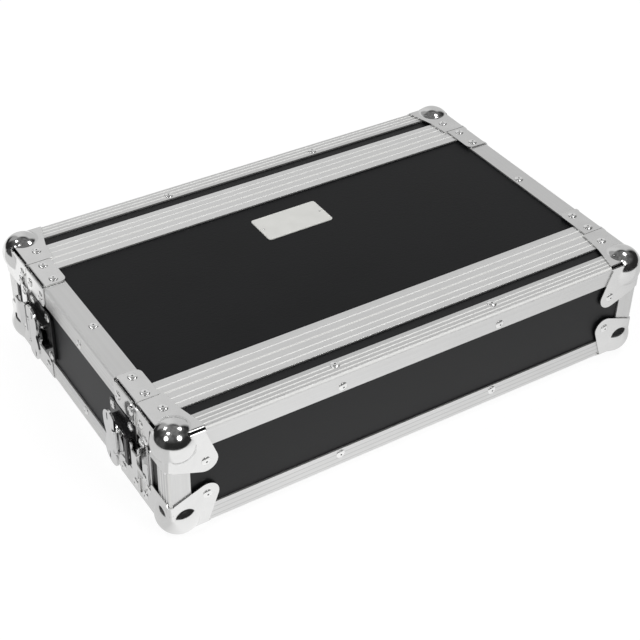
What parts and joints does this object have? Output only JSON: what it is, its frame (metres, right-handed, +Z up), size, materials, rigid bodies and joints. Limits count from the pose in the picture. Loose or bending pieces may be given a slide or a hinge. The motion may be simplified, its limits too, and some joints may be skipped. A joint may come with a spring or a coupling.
{
  "type": "rack case",
  "caption": "Shallow rack case with a laminated plywood sleeve, aluminium edges, ball corners, pull-off end lids and butterfly latches.",
  "frame": {"origin": "middle of the case's footprint, at the height of the lowest points of its lower ball corners", "axes": "+X to the right seen from the front lid, +Y from the front lid to the rear lid, +Z up"},
  "size_m": [0.5436, 0.356, 0.123],
  "materials": {
    "laminate": "textured black laminate",
    "aluminium": "satin extrusion",
    "steel": "bright zinc",
    "chrome": "polished",
    "rail": "black",
    "foam": "matt foam"
  },
  "bodies": {
    "body": {"sleeve": "laminate", "closing_frame_front": "aluminium", "closing_frame_rear": "aluminium", "edge_angle_top_left": "aluminium", "edge_angle_top_right": "aluminium", "edge_angle_bottom_left": "aluminium", "edge_angle_bottom_right": "aluminium", "corner_bracket_front_top_left": "steel", "corner_bracket_front_top_right": "steel", "corner_bracket_front_bottom_left": "steel", "corner_bracket_front_bottom_right": "steel", "corner_bracket_rear_top_left": "steel", "corner_bracket_rear_top_right": "steel", "corner_bracket_rear_bottom_left": "steel", "corner_bracket_rear_bottom_right": "steel", "rack_rail_left": "rail", "rack_rail_right": "rail", "latch_plate_front_left": "chrome", "latch_plate_front_right": "chrome", "latch_plate_rear_left": "chrome", "latch_plate_rear_right": "chrome"},
    "front_lid": {"front_lid_tray": "laminate", "front_lid_frame": "aluminium", "front_lid_angle_top": "aluminium", "front_lid_angle_bottom": "aluminium", "front_lid_angle_left": "aluminium", "front_lid_angle_right": "aluminium", "front_lid_foam": "foam", "front_lid_ball_corner_top_left": "steel", "front_lid_ball_corner_top_right": "steel", "front_lid_ball_corner_bottom_left": "steel", "front_lid_ball_corner_bottom_right": "steel", "front_lid_keeper_left": "chrome", "front_lid_keeper_right": "chrome"},
    "rear_lid": {"rear_lid_tray": "laminate", "rear_lid_frame": "aluminium", "rear_lid_angle_top": "aluminium", "rear_lid_angle_bottom": "aluminium", "rear_lid_angle_left": "aluminium", "rear_lid_angle_right": "aluminium", "rear_lid_foam": "foam", "rear_lid_ball_corner_top_left": "steel", "rear_lid_ball_corner_top_right": "steel", "rear_lid_ball_corner_bottom_left": "steel", "rear_lid_ball_corner_bottom_right": "steel", "rear_lid_keeper_left": "chrome", "rear_lid_keeper_right": "chrome"},
    "drum_front_left": {"latch_drum_front_left": "chrome"},
    "wing_front_left": {"latch_wing_front_left": "chrome"},
    "hook_front_left": {"latch_hook_front_left": "chrome"},
    "drum_front_right": {"latch_drum_front_right": "chrome"},
    "wing_front_right": {"latch_wing_front_right": "chrome"},
    "hook_front_right": {"latch_hook_front_right": "chrome"},
    "drum_rear_left": {"latch_drum_rear_left": "chrome"},
    "wing_rear_left": {"latch_wing_rear_left": "chrome"},
    "hook_rear_left": {"latch_hook_rear_left": "chrome"},
    "drum_rear_right": {"latch_drum_rear_right": "chrome"},
    "wing_rear_right": {"latch_wing_rear_right": "chrome"},
    "hook_rear_right": {"latch_hook_rear_right": "chrome"}
  },
  "joints": [
    {"name": "front_lid_slide", "type": "slide", "parent": "body", "child": "front_lid", "axis": [0, -1, 0], "range_m": [0, 0.12]},
    {"name": "rear_lid_slide", "type": "slide", "parent": "body", "child": "rear_lid", "axis": [0, 1, 0], "range_m": [0, 0.12]},
    {"name": "drum_front_left_turn", "type": "hinge", "parent": "body", "child": "drum_front_left", "pos_m": [-0.258, -0.089, 0.0615], "axis": [1, 0, 0], "range_deg": [0, 180]},
    {"name": "wing_front_left_fold", "type": "hinge", "parent": "drum_front_left", "child": "wing_front_left", "pos_m": [-0.2699, -0.0935, 0.0615], "axis": [0, 0, 1], "range_deg": [0, 90]},
    {"name": "hook_front_left_draw", "type": "slide", "parent": "body", "child": "hook_front_left", "axis": [0.3714, 0.9285, 0], "range_m": [0, 0.00862]},
    {"name": "drum_front_right_turn", "type": "hinge", "parent": "body", "child": "drum_front_right", "pos_m": [0.258, -0.089, 0.0615], "axis": [1, 0, 0], "range_deg": [0, 180]},
    {"name": "wing_front_right_fold", "type": "hinge", "parent": "drum_front_right", "child": "wing_front_right", "pos_m": [0.2699, -0.0935, 0.0615], "axis": [0, 0, -1], "range_deg": [0, 90]},
    {"name": "hook_front_right_draw", "type": "slide", "parent": "body", "child": "hook_front_right", "axis": [-0.3714, 0.9285, 0], "range_m": [0, 0.00862]},
    {"name": "drum_rear_left_turn", "type": "hinge", "parent": "body", "child": "drum_rear_left", "pos_m": [-0.258, 0.089, 0.0615], "axis": [-1, 0, 0], "range_deg": [0, 180]},
    {"name": "wing_rear_left_fold", "type": "hinge", "parent": "drum_rear_left", "child": "wing_rear_left", "pos_m": [-0.2699, 0.0935, 0.0615], "axis": [0, 0, -1], "range_deg": [0, 90]},
    {"name": "hook_rear_left_draw", "type": "slide", "parent": "body", "child": "hook_rear_left", "axis": [0.3714, -0.9285, 0], "range_m": [0, 0.00862]},
    {"name": "drum_rear_right_turn", "type": "hinge", "parent": "body", "child": "drum_rear_right", "pos_m": [0.258, 0.089, 0.0615], "axis": [-1, 0, 0], "range_deg": [0, 180]},
    {"name": "wing_rear_right_fold", "type": "hinge", "parent": "drum_rear_right", "child": "wing_rear_right", "pos_m": [0.2699, 0.0935, 0.0615], "axis": [0, 0, 1], "range_deg": [0, 90]},
    {"name": "hook_rear_right_draw", "type": "slide", "parent": "body", "child": "hook_rear_right", "axis": [-0.3714, -0.9285, 0], "range_m": [0, 0.00862]}
  ],
  "couplings": [
    {"joint": "hook_front_left_draw", "follows": "drum_front_left_turn", "m_per_rad": 0.0027425},
    {"joint": "hook_front_right_draw", "follows": "drum_front_right_turn", "m_per_rad": 0.0027425},
    {"joint": "hook_rear_left_draw", "follows": "drum_rear_left_turn", "m_per_rad": 0.0027425},
    {"joint": "hook_rear_right_draw", "follows": "drum_rear_right_turn", "m_per_rad": 0.0027425}
  ]
}
